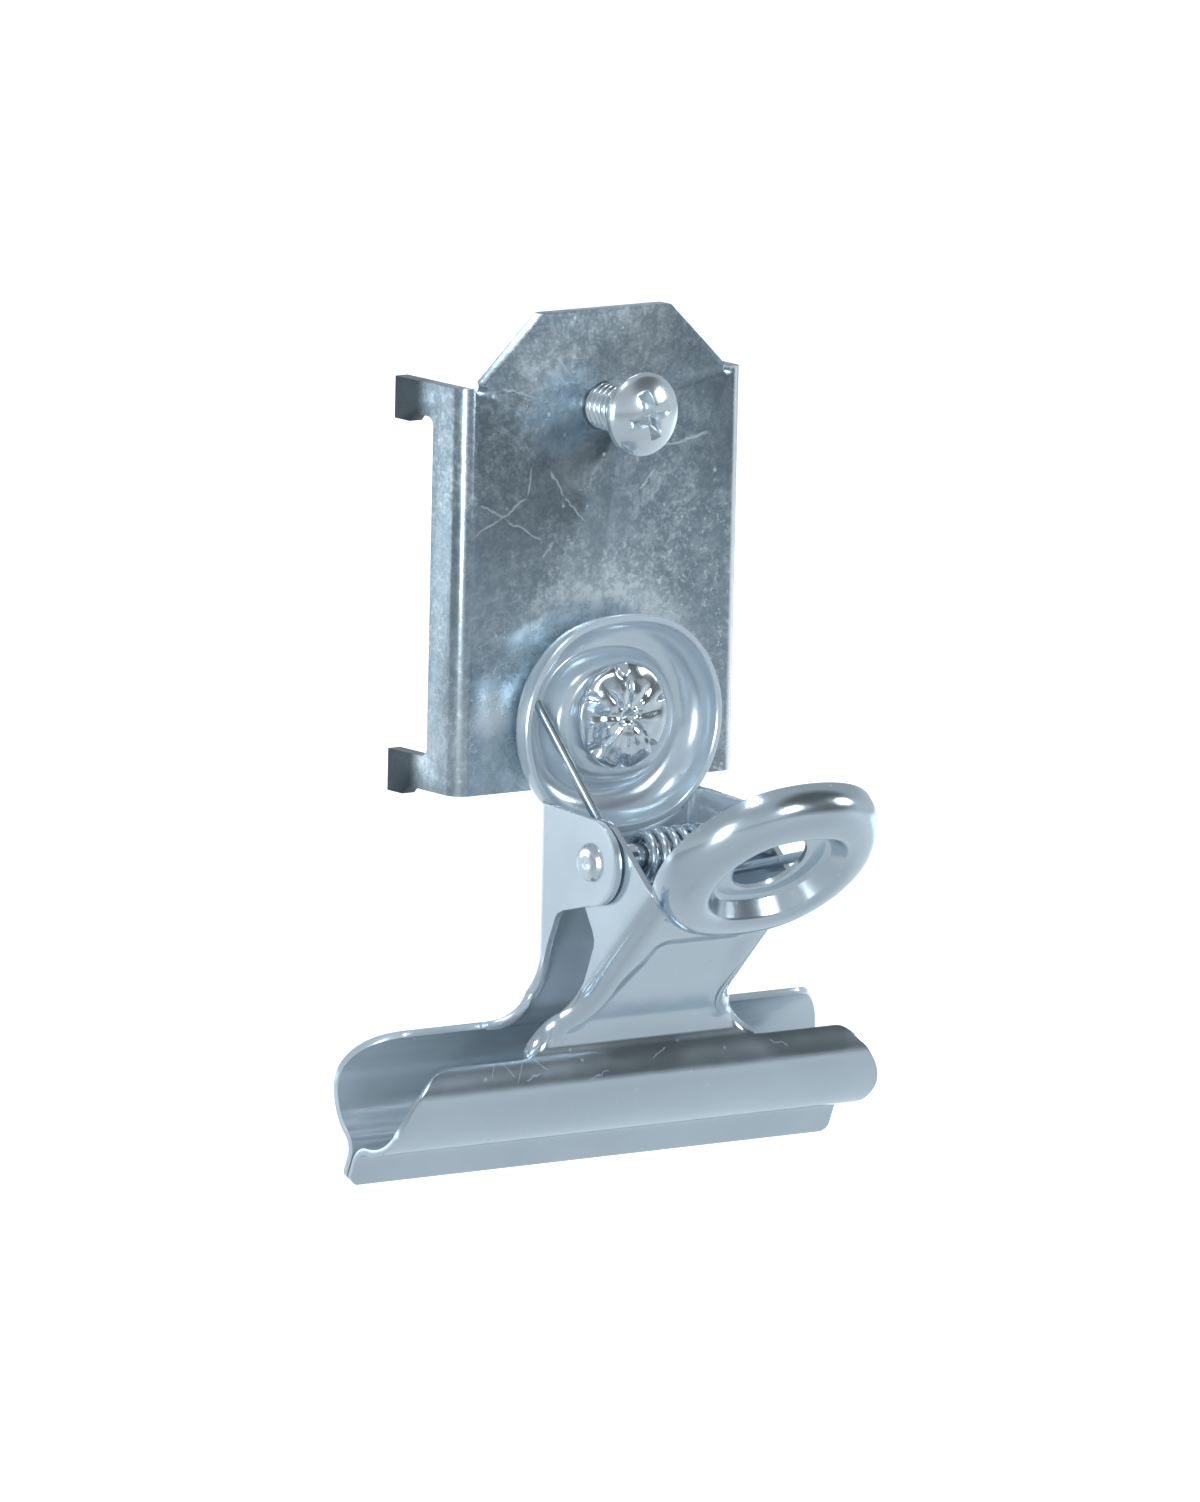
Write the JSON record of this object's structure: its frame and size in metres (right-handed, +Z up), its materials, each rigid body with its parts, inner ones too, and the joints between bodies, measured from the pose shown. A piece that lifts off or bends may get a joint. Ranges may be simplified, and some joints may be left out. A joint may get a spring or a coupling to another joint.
{
  "type": "letter clip bracket",
  "caption": "Sprung letter clip with ring handles and rolled jaws, riveted to a folded steel bracket that hooks into a perforated panel and is locked by a screw.",
  "frame": {"origin": "on the panel's face, midway between the bracket's flanges and midway between its upper and lower hooks", "axes": "+X across the bracket, +Y back into the panel, +Z up"},
  "size_m": [0.06, 0.0489, 0.0869],
  "materials": {
    "bracket_steel": "zinc plated, mottled",
    "screw_steel": "zinc plated",
    "rivet_steel": "nickel plated",
    "clip_steel": "nickel plated, bright",
    "spring_steel": "drawn wire, plated"
  },
  "bodies": {
    "bracket": {"bracket_plate": "bracket_steel", "rivet": "rivet_steel"},
    "screw": {"lock_screw": "screw_steel"},
    "clip": {"back_leaf": "clip_steel", "pivot_pin": "rivet_steel", "torsion_spring": "spring_steel"},
    "front_handle": {"front_leaf": "clip_steel"}
  },
  "joints": [
    {"name": "screw_travel", "type": "slide", "parent": "bracket", "child": "screw", "axis": [0, 1, 0], "range_m": [-0.0022, 0.0058]},
    {"name": "clip_swivel", "type": "hinge", "parent": "bracket", "child": "clip", "pos_m": [0, -0.008, -0.0131], "axis": [0, 1, 0], "range_deg": [-105, 105]},
    {"name": "jaw_hinge", "type": "hinge", "parent": "clip", "child": "front_handle", "pos_m": [0, -0.0179, -0.026], "axis": [-1, 0, 0], "range_deg": [0, 78], "stiffness_Nm_per_rad": 0.1, "springref_deg": -34.38, "deforming": ["torsion_spring"]}
  ]
}
